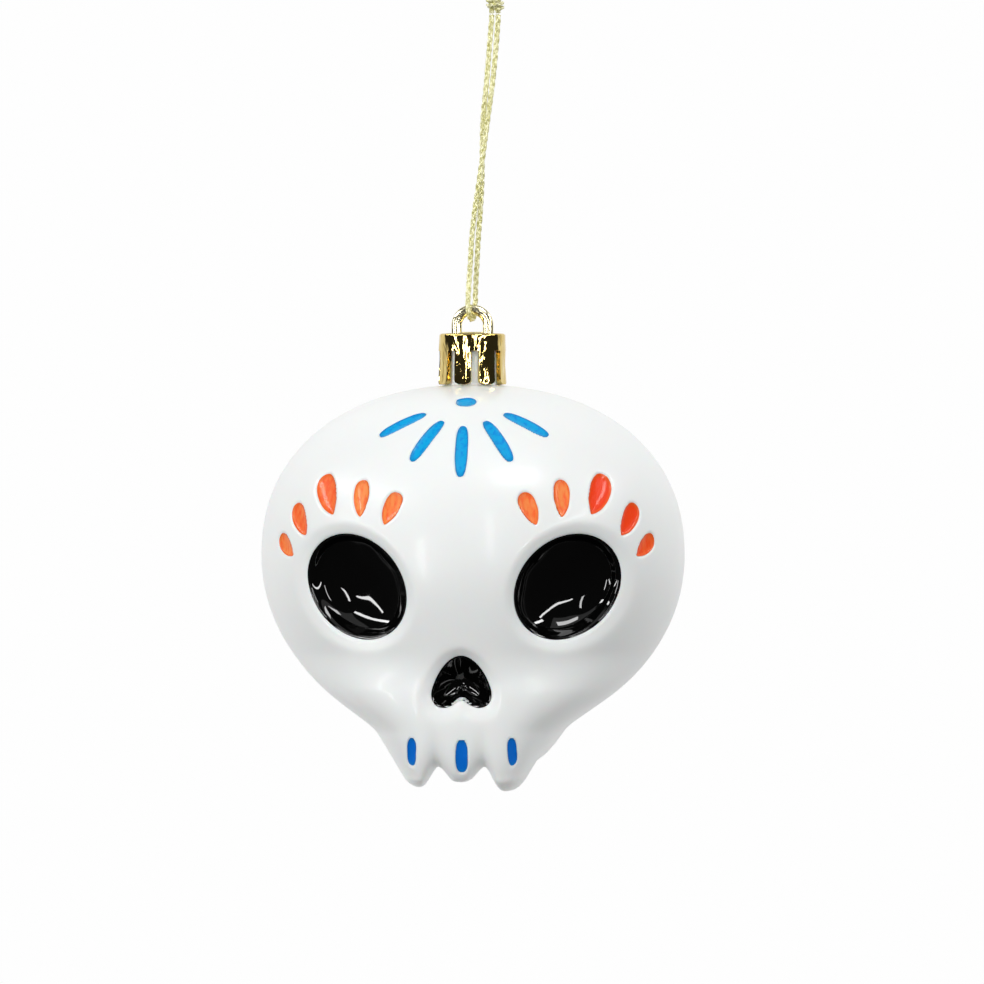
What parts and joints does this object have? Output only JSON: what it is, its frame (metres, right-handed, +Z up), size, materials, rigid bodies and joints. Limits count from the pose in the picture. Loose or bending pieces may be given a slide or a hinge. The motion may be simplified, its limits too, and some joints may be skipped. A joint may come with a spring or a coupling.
{
  "type": "skull ornament",
  "caption": "Hollow glossy white skull ornament with deep black sockets, inlaid enamel marks, a gold crown cap with a hanging ring and a knotted cord loop.",
  "frame": {"origin": "the hang point, in the middle of the knot that closes the cord loop", "axes": "+Z up along the neck and cap; the face looks along -Y; +X is the right-hand side of the front view"},
  "size_m": [0.08, 0.071, 0.1543],
  "materials": {
    "shell_white": "glossy moulded white with a clear lacquer",
    "socket_black": "wet-look black enamel",
    "enamel_orange": "semi-gloss orange enamel laid in recesses",
    "enamel_blue": "semi-gloss blue enamel laid in recesses",
    "cap_gold": "vacuum-metallised pale gold, mirror bright",
    "cord_gold": "chain-knitted metallic yarn, pale yellow gold"
  },
  "bodies": {
    "cord": {"cord_loop": "cord_gold", "cord_knot": "cord_gold"},
    "cap": {"crown_cap": "cap_gold"},
    "skull": {"skull_shell": "shell_white", "eye_enamel_right": "socket_black", "eye_enamel_left": "socket_black", "nose_enamel": "socket_black", "petal_enamel_right_1": "enamel_orange", "petal_enamel_right_2": "enamel_orange", "petal_enamel_right_3": "enamel_orange", "petal_enamel_right_4": "enamel_orange", "petal_enamel_right_5": "enamel_orange", "petal_enamel_left_1": "enamel_orange", "petal_enamel_left_2": "enamel_orange", "petal_enamel_left_3": "enamel_orange", "petal_enamel_left_4": "enamel_orange", "petal_enamel_left_5": "enamel_orange", "ray_enamel_right_1": "enamel_blue", "ray_enamel_right_2": "enamel_blue", "ray_enamel_left_1": "enamel_blue", "ray_enamel_left_2": "enamel_blue", "ray_enamel_middle": "enamel_blue", "dot_enamel": "enamel_blue", "tooth_enamel_right": "enamel_blue", "tooth_enamel_left": "enamel_blue", "tooth_enamel_middle": "enamel_blue"}
  },
  "joints": [
    {"name": "ring_swing", "type": "hinge", "parent": "cord", "child": "cap", "pos_m": [-0.0043, 0, -0.0577], "axis": [1, 0, 0], "range_deg": [-60, 60]},
    {"name": "cap_pull_off", "type": "slide", "parent": "cap", "child": "skull", "axis": [0, 0, -1], "range_m": [0, 0.012]}
  ]
}
